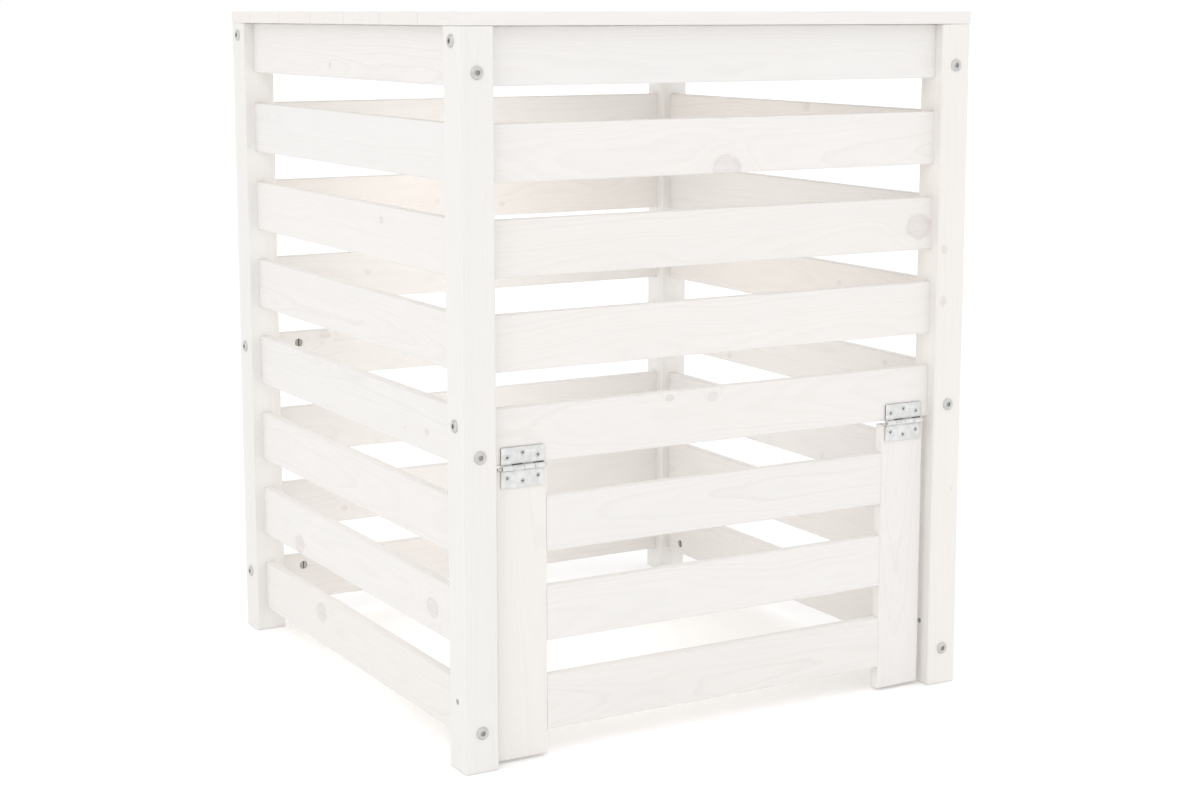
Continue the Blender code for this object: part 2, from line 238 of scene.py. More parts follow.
def pine(name, paint=(0.868, 0.852, 0.834), veil=0.10, relief=1.0):
    """White-stained softwood cut from a round log.

    The vertex attributes say where a point lies: "log" in the tree (u along the
    grain, v and w from the pith), "board" in the board, "half" half the board's
    size, "tone" a seed and this board's own lightness and warmth, and knot0..3 a
    knot's place on the face and its radius.
    """
    mat, n, shader = start_material(name)
    log, board, half, tone = (n.attr(a) for a in ("log", "board", "half", "tone"))
    u, v, w = n.split(log)
    x, y, z = n.split(board)
    hx, hy, hz = n.split(half)
    seed, light, warm = n.split(tone)

    # knots: distance in knot radii to the nearest, the swelling of the rings
    # round each, and the run of tight grain on both sides of it
    ragged = n.mul(n.sub(n.noise(n.scaled(log, (0.09, 0.13, 0.13)), detail=2.0), 0.5), 0.75)
    near, swell, run = None, None, None
    for i in range(KNOTS):
        kx, ky, kr = n.split(n.attr(f"knot{i}"))
        dx = n.div(n.mul(n.sub(x, kx), 0.80), kr)
        dy = n.div(n.sub(y, ky), kr)
        d = n.add(n.math("SQRT", n.add(n.mul(dx, dx), n.mul(dy, dy))), ragged)
        rise = n.mul(n.bell(d, 2.0), n.mul(kr, 1.15))
        tight = n.mul(n.bell(dy, 1.15), n.math("EXPONENT", n.mul(n.math("ABSOLUTE", dx), -0.30)))
        near = d if near is None else n.low(near, d)
        swell = rise if swell is None else n.add(swell, rise)
        run = tight if run is None else n.high(run, tight)
    knot = n.step(near, 1.16, 0.74)
    rim = n.bell(n.sub(near, 1.00), 0.17)
    halo = n.mul(n.bell(near, 2.3), n.sub(1.0, knot))

    # yearly rings of a wandering, slightly tapering trunk
    drift = n.noise(n.scaled(log, (0.0045, 0.016, 0.016)), detail=1.5, colour=True)
    dr, dg, _db = n.split(drift)
    v2 = n.add(v, n.mul(n.sub(dr, 0.5), 22.0))
    w2 = n.add(w, n.mul(n.sub(dg, 0.5), 22.0))
    radius = n.math("SQRT", n.add(n.mul(v2, v2), n.mul(w2, w2)))
    radius = n.add(radius, swell)
    years = n.add(n.mul(radius, 0.34), n.mul(n.noise1(n.mul(radius, 0.045)), 2.6))
    wiggle = n.noise(n.scaled(log, (0.035, 0.22, 0.22)), detail=2.0)
    years = n.add(years, n.mul(n.sub(wiggle, 0.5), 0.55))
    part = n.math("FRACT", years)
    late = n.mul(n.step(part, 0.30, 0.90), n.step(part, 1.0, 0.93))
    strength = n.noise1(n.mul(n.math("FLOOR", years), 3.71))
    late = n.mul(late, n.step(strength, 0.30, 0.68, 0.30, 1.0))

    # fibres and longer streaks, all drawn out along the grain
    fibre = n.noise(n.scaled(log, (0.030, 1.3, 1.3)), detail=3.0, rough=0.6)
    streak = n.noise(n.scaled(log, (0.0075, 0.26, 0.26)), detail=2.0)
    cloud = n.noise(n.scaled(board, (0.011, 0.030, 0.030)), detail=2.0)
    hand = n.noise(n.scaled(log, (0.020, 0.085, 0.085)), detail=2.5)
    pores = n.noise(n.scaled(log, (0.11, 2.6, 2.6)), detail=1.0)
    flecks = n.mul(n.step(pores, 0.66, 0.76), n.step(streak, 0.42, 0.62))

    # distances to the three pairs of faces: the smallest is about nothing on a
    # face, and the next one is how far the nearest arris is
    a = n.sub(hx, n.math("ABSOLUTE", x))
    b = n.sub(hy, n.math("ABSOLUTE", y))
    c = n.sub(hz, n.math("ABSOLUTE", z))
    arris = n.high(n.low(a, b), n.low(n.high(a, b), c))
    scuff = n.noise(n.scaled(board, (0.045, 0.30, 0.30)), detail=3.0)
    worn = n.step(n.add(arris, n.mul(n.sub(scuff, 0.5), 5.5)), 1.5, 0.1)
    end = n.step(a, 0.75, 0.15)

    # wood under the stain
    wood = n.mix(late, (0.790, 0.720, 0.655), (0.590, 0.545, 0.500))
    wood = n.mix(n.mul(n.step(fibre, 0.45, 0.75), 0.40), wood, (0.62, 0.56, 0.50))
    years_in_knot = n.math("FRACT", n.mul(near, 3.4))
    knot_wood = n.mix(n.step(years_in_knot, 0.35, 0.95), (0.56, 0.46, 0.45), (0.45, 0.37, 0.36))
    wood = n.mix(knot, wood, knot_wood)
    wood = n.mix(n.mul(rim, 0.70), wood, (0.36, 0.27, 0.26))

    # how much of the wood the stain lets through
    shows = n.add(veil, n.mul(n.sub(hand, 0.5), 0.11))
    shows = n.add(shows, n.mul(late, n.step(cloud, 0.30, 0.68, 0.032, 0.092)))
    shows = n.add(shows, n.mul(n.step(streak, 0.46, 0.74), 0.050))
    shows = n.add(shows, n.mul(n.step(fibre, 0.50, 0.78), 0.040))
    shows = n.add(shows, n.mul(flecks, 0.08))
    shows = n.add(shows, n.mul(run, n.mul(n.step(streak, 0.34, 0.60), 0.09)))
    shows = n.add(shows, n.mul(halo, 0.04))
    shows = n.add(shows, n.mul(knot, 0.088))
    shows = n.add(shows, n.mul(n.mul(rim, n.step(cloud, 0.32, 0.62)), 0.10))
    shows = n.add(shows, n.mul(worn, 0.09))
    shows = n.add(shows, n.mul(end, 0.10))
    shows = n.math("MAXIMUM", n.math("MINIMUM", shows, 0.80), 0.02)

    colour = n.mix(shows, paint, wood)
    # this board's own tone, then a slow change of tone along it
    shade = n.add(light, n.mul(n.sub(cloud, 0.5), 0.035))
    red = n.add(1.0, n.add(shade, n.mul(warm, 0.012)))
    green = n.add(1.0, n.sub(shade, n.mul(warm, 0.003)))
    blue = n.add(1.0, n.sub(shade, n.mul(warm, 0.016)))
    colour = n.mix(1.0, colour, n.join(red, green, blue), blend="MULTIPLY")
    n.put(shader.inputs["Base Color"], colour)

    rough = n.add(0.50, n.mul(n.sub(fibre, 0.5), 0.22))
    rough = n.add(rough, n.mul(shows, 0.22))
    rough = n.add(rough, n.mul(end, 0.12))
    n.put(shader.inputs["Roughness"], n.math("MINIMUM", rough, 0.92))
    shader.inputs["Specular IOR Level"].default_value = 0.34

    # relief, in fifths of a millimetre: hard latewood stands up, fibres and
    # the brush leave fine lines, a knot's rim is a hairline crack
    height = n.mul(late, 0.22)
    height = n.add(height, n.mul(fibre, 0.34))
    height = n.add(height, n.mul(streak, 0.50))
    height = n.add(height, n.mul(pores, 0.12))
    height = n.sub(height, n.mul(n.mul(rim, n.step(cloud, 0.32, 0.62)), 0.75))
    height = n.add(height, n.mul(n.mul(knot, years_in_knot), 0.16))
    sawn = n.noise(n.scaled(log, (0.8, 0.8, 0.8)), detail=3.0)
    height = n.add(height, n.mul(n.mul(end, sawn), 1.1))
    bump = n.new("ShaderNodeBump")
    bump.inputs["Strength"].default_value = 0.55 * relief
    bump.inputs["Distance"].default_value = 0.0002
    n.put(bump.inputs["Height"], height)
    n.put(shader.inputs["Normal"], bump.outputs["Normal"])
    return mat


# ------------------------------------------------------------------ zinc
def zinc(name, base, rough, blue=0.0, painted_shade=(0.055, 0.052, 0.048)):
    """Bright zinc plate: a faint spangle, fine dark specks and rolled streaks.

    The attribute "deep" is 1 in recesses, which get a dark, dull painted shade.
    """
    mat, n, shader = start_material(name)
    spot = n.attr("spot")
    deep = n.new("ShaderNodeAttribute", attribute_name="deep").outputs["Fac"]
    cloud = n.noise(n.scaled(spot, (0.16, 0.16, 0.16)), detail=3.0)
    grain = n.noise(n.scaled(spot, (0.55, 3.2, 3.2)), detail=2.0)
    fine = n.noise(n.scaled(spot, (5.0, 5.0, 5.0)), detail=1.0)
    cells = n.new("ShaderNodeTexVoronoi", feature="F1")
    n.put(cells.inputs["Vector"], spot)
    cells.inputs["Scale"].default_value = 0.55
    spangle = n.split(cells.outputs["Color"])[0]
    dark = tuple(c * 0.89 for c in base)
    pale = (min(1.0, base[0] * 1.07), min(1.0, base[1] * 1.07), min(1.0, base[2] * (1.07 + blue)))
    colour = n.mix(n.step(cloud, 0.30, 0.70), dark, pale)
    colour = n.mix(n.mul(spangle, 0.12), colour, pale)
    colour = n.mix(n.mul(n.step(grain, 0.48, 0.72), 0.14), colour, dark)
    colour = n.mix(n.mul(n.step(fine, 0.64, 0.74), 0.12), colour, (0.42, 0.42, 0.41))
    # painted shade: recesses marked by deep turn near black, duller and less metallic
    colour = n.mix(n.math("MINIMUM", deep, 1.0), colour, painted_shade)
    n.put(shader.inputs["Base Color"], colour)
    roughness = n.add(rough, n.mul(n.sub(cloud, 0.5), 0.22))
    roughness = n.add(roughness, n.mul(n.sub(spangle, 0.5), 0.07))
    roughness = n.add(roughness, n.mul(deep, 0.35))
    n.put(shader.inputs["Roughness"], n.math("MAXIMUM", n.math("MINIMUM", roughness, 0.95), 0.16))
    n.put(shader.inputs["Metallic"], n.sub(1.0, n.mul(deep, 0.55)))
    height = n.add(n.mul(cloud, 0.8), n.add(n.mul(grain, 0.35), n.mul(fine, 0.15)))
    bump = n.new("ShaderNodeBump")
    bump.inputs["Strength"].default_value = 0.35
    bump.inputs["Distance"].default_value = 0.00005
    n.put(bump.inputs["Height"], height)
    n.put(shader.inputs["Normal"], bump.outputs["Normal"])
    return mat


POST_WOOD = pine("post_stained_pine", paint=(0.812, 0.798, 0.777), veil=0.090)
SLAT_WOOD = pine("slat_stained_pine", paint=(0.818, 0.801, 0.785), veil=0.095)
LID_WOOD = pine("lid_stained_pine", paint=(0.822, 0.796, 0.775), veil=0.095)
HINGE_METAL = zinc("hinge_zinc_plate", (0.750, 0.750, 0.738), 0.42, 0.01)
BOLT_METAL = zinc("bolt_zinc_plate", (0.600, 0.600, 0.585), 0.44)
NUT_METAL = zinc("nut_zinc_plate", (0.470, 0.455, 0.425), 0.42)
PIN_METAL = zinc("pin_zinc_plate", (0.600, 0.605, 0.600), 0.33)


# ------------------------------------------------------------------ mesh helpers
AXES = {"X": Vector((1, 0, 0)), "Y": Vector((0, 1, 0)), "Z": Vector((0, 0, 1))}


def keep(mesh, name, body, mat, replaces=(), place=Matrix.Identity(4)):
    """Links a finished mesh as a piece that rides on a body."""
    obj = bpy.data.objects.new(name, mesh)
    bpy.context.scene.collection.objects.link(obj)
    obj.matrix_world = place
    mesh.materials.clear()
    mesh.materials.append(mat)
    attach(obj, body)
    if replaces:
        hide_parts(*replaces)
    return obj


def smooth(mesh, degrees=36.0):
    mesh.shade_smooth()
    mesh.set_sharp_from_angle(angle=math.radians(degrees))


def from_bmesh(bm, name):
    bmesh.ops.recalc_face_normals(bm, faces=bm.faces)
    mesh = bpy.data.meshes.new(name)
    bm.to_mesh(mesh)
    bm.free()
    return mesh


def add_cylinder(bm, radius, length, axis, centre, segments, radius2=None, start=0.0):
    turn = {
        "X": Matrix.Rotation(math.pi / 2, 4, "Y"),
        "Y": Matrix.Rotation(-math.pi / 2, 4, "X"),
        "Z": Matrix.Identity(4),
    }[axis]
    return bmesh.ops.create_cone(
        bm, cap_ends=True, segments=segments, radius1=radius,
        radius2=radius if radius2 is None else radius2, depth=length,
        matrix=Matrix.Translation(centre) @ turn @ Matrix.Rotation(start, 4, "Z"),
    )["verts"]


def add_box(bm, size, centre):
    made = bmesh.ops.create_cube(bm, size=1.0)["verts"]
    bmesh.ops.scale(bm, vec=size, verts=made)
    bmesh.ops.translate(bm, vec=centre, verts=made)
    return made


def carve(mesh, operands):
    """Applies Booleans.  operands is [(mesh, operation), ...]; all are in one space."""
    base = bpy.data.objects.new("carve_base", mesh)
    bpy.context.scene.collection.objects.link(base)
    others = []
    for i, (other, operation) in enumerate(operands):
        tool = bpy.data.objects.new(f"carve_tool_{i}", other)
        bpy.context.scene.collection.objects.link(tool)
        others.append(tool)
        mod = base.modifiers.new(f"cut_{i}", "BOOLEAN")
        mod.operation, mod.solver, mod.object = operation, "EXACT", tool
    bpy.context.view_layer.update()
    graph = bpy.context.evaluated_depsgraph_get()
    made = bpy.data.meshes.new_from_object(base.evaluated_get(graph))
    for obj in (base, *others):
        data = obj.data
        bpy.data.objects.remove(obj, do_unlink=True)
        bpy.data.meshes.remove(data)
    return made


def positions(mesh):
    co = np.zeros(len(mesh.vertices) * 3, np.float32)
    mesh.vertices.foreach_get("co", co)
    return co.reshape(-1, 3).astype(float)


def write_vector(mesh, name, values):
    layer = mesh.attributes.get(name) or mesh.attributes.new(name, "FLOAT_VECTOR", "POINT")
    layer.data.foreach_set("vector", np.ascontiguousarray(values, np.float32).ravel())


def write_float(mesh, name, values):
    layer = mesh.attributes.get(name) or mesh.attributes.new(name, "FLOAT", "POINT")
    layer.data.foreach_set("value", np.ascontiguousarray(values, np.float32))


# ------------------------------------------------------------------ boards
def timber_mesh(name, size, edge, end_edge, rng, spacing=0.0055, arc=4):
    """A board about its centre: x along it, y across, z through.

    Its long arrises are rounded by a radius that wanders a little along the
    board and opens out at a few small dents; its ends are eased.
    """
    length, hy, hz = size[0], size[1] / 2, size[2] / 2
    rings = max(24, int(length / spacing))
    inner = np.linspace(-length / 2 + end_edge, length / 2 - end_edge, rings)
    ease = [math.radians(t) for t in (30, 60, 90)]
    head = [(-length / 2 + end_edge - end_edge * math.sin(t), end_edge * (1 - math.cos(t))) for t in ease]
    stations = [(s, inset) for s, inset in reversed(head)] + [(s, 0.0) for s in inner] + [(-s, inset) for s, inset in head]

    # radius of each of the four arrises at each station
    phase = rng.random() * 100
    dents = [
        [(rng.uniform(-length / 2, length / 2), rng.uniform(0.0030, 0.0075), rng.uniform(0.25, 0.95))
         for _ in range(rng.choice((0, 1, 1, 2, 3)))]
        for _corner in range(4)
    ]
    radii = []
    for s, _inset in stations:
        row = []
        for corner in range(4):
            r = edge * (1.0 + 0.42 * noise.noise(Vector((s * 21.0, corner * 7.3 + phase, 0.0)))
                        + 0.20 * noise.noise(Vector((s * 95.0, corner * 3.1 + phase, 5.0))))
            for at, wide, deep in dents[corner]:
                r += edge * deep * math.exp(-((s - at) / wide) ** 2)
            row.append(min(r, 0.62 * min(hy, hz)))
        radii.append(row)

    flat_y = [0.93, 0.62, 0.21, -0.21, -0.62, -0.93] if hy > 0.02 else [0.86, 0.30, -0.30, -0.86]
    flat_z = [0.80, 0.0, -0.80] if hz < 0.01 else [0.88, 0.45, 0.0, -0.45, -0.88]
    rings_made = []
    for (s, inset), row in zip(stations, radii):
        ring = []
        ey, ez = hy - inset, hz - inset
        reach = [max(0.0002, r - inset * 0.5) for r in row]
        spots = [(1, 1, 0.0), (-1, 1, 90.0), (-1, -1, 180.0), (1, -1, 270.0)]
        for k, (sy, sz, start) in enumerate(spots):
            r = reach[k]
            for i in range(arc + 1):
                t = math.radians(start + 90.0 * i / arc)
                ring.append((s, sy * (ey - r) + r * math.cos(t), sz * (ez - r) + r * math.sin(t)))
            # points along the flat that follows this corner
            if k == 0:
                ring += [(s, f * (ey - edge), ez) for f in flat_y]
            elif k == 1:
                ring += [(s, -ey, f * (ez - edge)) for f in flat_z]
            elif k == 2:
                ring += [(s, -f * (ey - edge), -ez) for f in flat_y]
            else:
                ring += [(s, ey, -f * (ez - edge)) for f in flat_z]
        rings_made.append(ring)

    # a flat border on both end faces keeps their shading crisp
    def border(ring, s):
        return [(s, y * (1 - 0.0012 / hy), z * (1 - 0.0012 / hz)) for _s, y, z in ring]

    rings_made = [border(rings_made[0], -length / 2)] + rings_made + [border(rings_made[-1], length / 2)]
    count = len(rings_made[0])
    verts = [p for ring in rings_made for p in ring]
    faces = []
    for j in range(len(rings_made) - 1):
        p, q = j * count, (j + 1) * count
        faces += [(p + i, p + (i + 1) % count, q + (i + 1) % count, q + i) for i in range(count)]
    faces.append(tuple(range(count - 1, -1, -1)))
    last = (len(rings_made) - 1) * count
    faces.append(tuple(range(last, last + count)))
    mesh = bpy.data.meshes.new(name)
    mesh.from_pydata(verts, [], faces)
    bm = bmesh.new()
    bm.from_mesh(mesh)
    bmesh.ops.remove_doubles(bm, verts=bm.verts, dist=2e-6)
    bmesh.ops.recalc_face_normals(bm, faces=bm.faces)
    bm.to_mesh(mesh)
    bm.free()
    return mesh


def grown(rng, size, kind):
    """How this board sits in its tree: a shift from the pith in mm, two tilts, a lean and a place along the trunk."""
    if kind == "post":       # squared from near the heart
        away, side = rng.uniform(16, 38), rng.uniform(-16, 16)
        tilt_v, tilt_w = rng.uniform(-0.016, 0.016), rng.uniform(-0.008, 0.008)
    else:                    # flat-sawn boards
        away, side = rng.uniform(24, 62), rng.uniform(-20, 20)
        tilt_v, tilt_w = rng.choice((-1, 1)) * rng.uniform(0.008, 0.034), rng.uniform(-0.012, 0.012)
    lean = math.radians(rng.uniform(-16, 16))
    return away, side, tilt_v, tilt_w, lean, rng.uniform(0, 9000)


def write_wood(mesh, size, rng, kind, knots, tone):
    """Writes the attributes that the pine material reads.  Positions are local."""
    p = positions(mesh) * 1000.0
    away, side, tilt_v, tilt_w, lean, along = grown(rng, size, kind)
    x, y, z = p[:, 0], p[:, 1], p[:, 2]
    c, s = math.cos(lean), math.sin(lean)
    v = away + (z * c - y * s) + x * tilt_v
    w = side + (z * s + y * c) + x * tilt_w
    write_vector(mesh, "log", np.stack([x + along, v, w], 1))
    write_vector(mesh, "board", p)
    half = np.tile(np.array(size, float) * 500.0, (len(p), 1))
    write_vector(mesh, "half", half)
    write_vector(mesh, "tone", np.tile(np.array(tone, float), (len(p), 1)))
    for i in range(KNOTS):
        spot = knots[i] if i < len(knots) else (9.0e4, 9.0e4, 1.0)
        write_vector(mesh, f"knot{i}", np.tile(np.array(spot, float), (len(p), 1)))


# Knots that the photograph shows, in mm: along the board, across it, radius.
SEEN_KNOTS = {
    "slat_front_2": [(2, -24, 13.0)],
    "slat_front_3": [(261, -2.5, 12.5)],
    "slat_front_5": [(-13, 19.5, 4.6), (-67, 22.5, 3.4)],
    "post_front_right": [(128.5, -10, 3.6), (69.5, -10, 4.0), (-150, 8, 1.8)],
    "slat_left_8": [(98, 10, 10.5)],
    "slat_left_7": [(-214, -4, 10.0), (163, -17.5, 10.0)],
    "slat_left_5": [(-205, -8, 3.6), (-150, -12, 2.0)],
    "slat_left_3": [(-95, 14, 3.4)],
    "slat_left_1": [(40, -16, 2.8)],
    "slat_rear_4": [(-153, 2.5, 3.2)],
    "slat_rear_3": [(-54, -6, 2.6), (40, -14, 3.0)],
    "slat_rear_5": [(-214, 24, 5.0)],
    "slat_rear_7": [(-191, -13, 3.0)],
    "slat_right_4": [(-113, 6.5, 2.6)],
    "slat_right_5": [(129, -21.5, 3.4), (-207, 17, 3.0), (60, 10, 2.0)],
    "slat_right_7": [(272, 27, 3.0)],
}
CLEAR_BOARDS = {
    "slat_front_1", "slat_front_4", "post_front_left", "post_rear_left", "slat_left_2", "slat_left_4",
    "slat_left_6", "door_stile_left", "door_stile_right", "door_slat_1", "door_slat_2", "door_slat_3",
}


def own_knots(name, size, rng):
    if name in SEEN_KNOTS:
        return SEEN_KNOTS[name]
    if name in CLEAR_BOARDS:
        return []
    made = []
    across = size[1] * 500.0
    for _ in range(rng.choice((0, 0, 0, 1, 1, 2))):
        r = rng.choice((1.6, 2.2, 2.8, 3.6, 5.0, 7.5))
        made.append((rng.uniform(-0.46, 0.46) * size[0] * 1000, rng.uniform(-0.85, 0.85) * across, r))
    return made


def make_board(node, body, mat, along, across, through, edge, end_edge, kind, box=None, cuts=None, joins=None, spacing=0.0055):
    """Rebuilds a board in the box of its CAD node and stands in for it."""
    rng = random.Random("pine " + node)
    low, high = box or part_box(node)
    centre = (low + high) / 2
    span = high - low
    size = tuple(abs(span.dot(AXES[k])) for k in (along, across, through))
    mesh = timber_mesh(node + "_mesh", size, edge, end_edge, rng, spacing)
    turn = Matrix((AXES[along], AXES[across], AXES[through])).transposed().to_4x4()
    if turn.determinant() < 0:      # keep a right-handed set: the board is symmetric
        turn = Matrix((AXES[along], AXES[across], -AXES[through])).transposed().to_4x4()
    place = Matrix.Translation(centre) @ turn
    operands = []
    for maker, operation in ((cuts, "DIFFERENCE"), (joins, "UNION")):
        if maker is None:
            continue
        bm = bmesh.new()
        maker(bm)
        tool = from_bmesh(bm, node + "_tool")
        tool.transform(place.inverted())
        operands.append((tool, operation))
    if operands:
        mesh = carve(mesh, operands)
        mesh.name = node + "_mesh"
    tone = (rng.uniform(0, 100), rng.uniform(-0.009, 0.008), rng.uniform(-0.6, 0.6))
    write_wood(mesh, size, rng, kind, own_knots(node, size, rng), tone)
    smooth(mesh)
    return keep(mesh, node + "_board", body, mat, (node,), place)


# ------------------------------------------------------------------ posts
def post_cuts(sx, sy):
    """Bolt holes and blind housings of a post."""
    cx, cy = sx * SLAT_CX, sy * SLAT_CY

    def cut(bm):
        for number in range(1, SLAT_COUNT + 1):
            z = slat_centre(number)
            if number in BOLTED:
                add_cylinder(bm, BOLT_HOLE_R, 0.07, "Y", (cx, cy, z - BOLT_OFFSET), 24)
                add_cylinder(bm, BOLT_HOLE_R, 0.06, "X", (cx, cy, z + BOLT_OFFSET), 24)
                continue
            # the slats are driven in, so these housings are a closer fit than in the CAD
            across, high = SLAT_T + 2 * (GAP - TIGHT), SLAT_H + 2 * (GAP - TIGHT)
            add_box(bm, (across, 2 * HOUSING, high), (cx, cy - sy * POST_Y / 2, z))
            if sy > 0 or number <= FRONT_SLATS:
                add_box(bm, (2 * HOUSING, across, high), (cx - sx * POST_X / 2, cy, z))
    return cut


for fore, sy in (("front", -1), ("rear", 1)):
    for side, sx in (("left", -1), ("right", 1)):
        make_board(
            f"post_{fore}_{side}", "bin", POST_WOOD,
            "Z", "X", "Y", 0.0022, 0.0005, "post", cuts=post_cuts(sx, sy),
        )


# ------------------------------------------------------------------ wall slats
def slat_cuts(along, number, across, inward):
    """Bolt and nut holes at both ends of a bolted slat."""
    z = slat_centre(number) + (BOLT_OFFSET if along == "X" else -BOLT_OFFSET)
    clear, post = (CLEAR_X, POST_X) if along == "X" else (CLEAR_Y, POST_Y)
    nut = NUT_FROM_OUTSIDE - post
    depth = nut + 0.008

    def cut_bolts(bm):
        for end in (-1, 1):
            mid = end * (clear / 2 - depth / 2 + 0.002)
            centre = (mid, across, z) if along == "X" else (across, mid, z)
            add_cylinder(bm, BOLT_HOLE_R, depth + 0.004, along, centre, 24)

    def cut_nuts(bm):
        for end in (-1, 1):
            at = end * (clear / 2 - nut)
            off = across + inward * (SLAT_T / 2 - NUT_HOLE_D / 2 + 0.0005)
            if along == "X":
                add_cylinder(bm, NUT_HOLE_R, NUT_HOLE_D + 0.001, "Y", (at, off, z), 32)
            else:
                add_cylinder(bm, NUT_HOLE_R, NUT_HOLE_D + 0.001, "X", (off, at, z), 32)
    return cut_bolts, cut_nuts


def make_slat(node, along, number, across, inward):
    rng = random.Random("pine " + node)
    low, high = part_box(node)
    centre, span = (low + high) / 2, high - low
    through = "Y" if along == "X" else "X"
    size = [abs(span.dot(AXES[k])) for k in (along, "Z", through)]
    if number in BOLTED:
        size[0] += 2 * TIGHT      # drawn up to the posts by its bolts
    if number == 1:               # the lid all but rests on the top slats
        size[1] += 0.00045
        centre.z += 0.000225
    size = tuple(size)
    mesh = timber_mesh(node + "_mesh", size, 0.0015, 0.0002, rng)
    turn = Matrix((AXES[along], AXES["Z"], AXES[through])).transposed().to_4x4()
    if turn.determinant() < 0:
        turn = Matrix((AXES[along], AXES["Z"], -AXES[through])).transposed().to_4x4()
    place = Matrix.Translation(centre) @ turn
    if number in BOLTED:
        operands = []
        for maker in slat_cuts(along, number, across, inward):
            bm = bmesh.new()
            maker(bm)
            tool = from_bmesh(bm, node + "_tool")
            tool.transform(place.inverted())
            operands.append((tool, "DIFFERENCE"))
        mesh = carve(mesh, operands)
        mesh.name = node + "_mesh"
    tone = (rng.uniform(0, 100), rng.uniform(-0.008, 0.006), rng.uniform(-0.6, 0.6))
    # painted shade: every slat of the right wall is made a little darker
    if node.startswith("slat_right"):
        tone = (tone[0], tone[1] - 0.012, tone[2])
    write_wood(mesh, size, rng, "slat", own_knots(node, size, rng), tone)
    smooth(mesh)
    return keep(mesh, node + "_board", "bin", SLAT_WOOD, (node,), place)


for number in range(1, SLAT_COUNT + 1):
    make_slat(f"slat_left_{number}", "Y", number, -SLAT_CX, 1)
    make_slat(f"slat_right_{number}", "Y", number, SLAT_CX, -1)
    make_slat(f"slat_rear_{number}", "X", number, SLAT_CY, -1)
    if number <= FRONT_SLATS:
        make_slat(f"slat_front_{number}", "X", number, -SLAT_CY, 1)

# ------------------------------------------------------------------ door flap
for side, sx in (("left", -1), ("right", 1)):
    def cut_mortises(bm, sx=sx):
        for number in range(FRONT_SLATS + 1, SLAT_COUNT + 1):
            add_box(
                bm, (2 * TENON_L, TENON_T + 2 * GAP, TENON_H + 2 * GAP),
                (sx * STILE_IN, -SLAT_CY, slat_centre(number)),
            )
    low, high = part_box(f"door_stile_{side}")
    low, high = low.copy(), high.copy()
    if side == "left":            # it all but hides the gap beside it, as in the photograph
        low.x -= 0.0012
    make_board(
        f"door_stile_{side}", "door", SLAT_WOOD,
        "Z", "X", "Y", 0.0009, 0.0007, "slat", box=(low, high), cuts=cut_mortises,
    )

for i in (1, 2, 3):
    node = f"door_slat_{i}"
    low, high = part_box(node)
    low, high = low.copy(), high.copy()
    low.x, high.x = GAP - TIGHT - STILE_IN, STILE_IN + TIGHT - GAP      # between the stiles, without the tenons
    z = slat_centre(FRONT_SLATS + i)

    def join_tenons(bm, z=z):
        for sx in (-1, 1):
            add_box(bm, (TENON_L + 0.0097, TENON_T, TENON_H), (sx * (STILE_IN + (TENON_L - 0.0003) / 2 - 0.005), -SLAT_CY, z))
    make_board(
        node, "door", SLAT_WOOD, "X", "Z", "Y", 0.0015, 0.0002, "slat",
        box=(low, high), joins=join_tenons,
    )

# ------------------------------------------------------------------ lid
LID_HEADS = {}                # number: [(side, row, x, y, spin)]
heads = random.Random("lid screws")
for number in range(1, 8):
    low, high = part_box(f"lid_board_{number}")
    LID_HEADS[number] = [
        (side, row, sx * 0.2605 + heads.uniform(-0.0025, 0.0025),
         low.y + (high.y - low.y) * share + heads.uniform(-0.002, 0.002), heads.uniform(0, 1.5))
        for side, sx in (("left", -1), ("right", 1)) for row, share in (("a", 0.24), ("b", 0.76))
    ]

    def cut_heads(bm, number=number):
        for _side, _row, x, y, _spin in LID_HEADS[number]:
            add_cylinder(bm, 0.0037, 0.0041, "Z", (x, y, LID_TOP - 0.00105), 28)
    make_board(
        f"lid_board_{number}", "lid", LID_WOOD,
        "X", "Y", "Z", 0.0009, 0.0005, "slat", cuts=cut_heads,
    )
for side in ("left", "right"):
    make_board(
        f"lid_batten_{side}", "lid", LID_WOOD,
        "Y", "X", "Z", 0.0016, 0.0007, "slat",
    )


# ------------------------------------------------------------------ turned fasteners
def turned(profile, segments, shape=None):
    """A closed turned body.  profile is [(radius, z)], first and last on the axis.

    shape(i, angle, radius) may change the radius of ring i.
    """
    verts, faces, rings = [], [], []
    for i, (r, z) in enumerate(profile):
        if r <= 0.0:
            rings.append([len(verts)])
            verts.append((0.0, 0.0, z))
            continue
        ring = []
        for k in range(segments):
            t = 2 * math.pi * k / segments
            rr = shape(i, t, r) if shape else r
            ring.append(len(verts))
            verts.append((rr * math.cos(t), rr * math.sin(t), z))
        rings.append(ring)
    for a, b in zip(rings, rings[1:]):
        if len(a) == 1:
            faces += [(a[0], b[k], b[(k + 1) % segments]) for k in range(segments)]
        elif len(b) == 1:
            faces += [(a[(k + 1) % segments], a[k], b[0]) for k in range(segments)]
        else:
            faces += [(a[k], b[k], b[(k + 1) % segments], a[(k + 1) % segments]) for k in range(segments)]
    bm = bmesh.new()
    made = [bm.verts.new(v) for v in verts]
    for face in faces:
        bm.faces.new([made[k] for k in face])
    return from_bmesh(bm, "turned")


def finish_metal(mesh, degrees=32.0, deep=None):
    """Attributes of the zinc material: spot in mm and deep, a function of position in mm."""
    smooth(mesh, degrees)
    p = positions(mesh) * 1000.0
    write_vector(mesh, "spot", p)
    write_float(mesh, "deep", np.zeros(len(p)) if deep is None else deep(p))


def hexagon(angle, flat):
    """Radius of a hexagon with that half width across its flats."""
    return flat / math.cos((angle + math.pi / 6) % (math.pi / 3) - math.pi / 6)


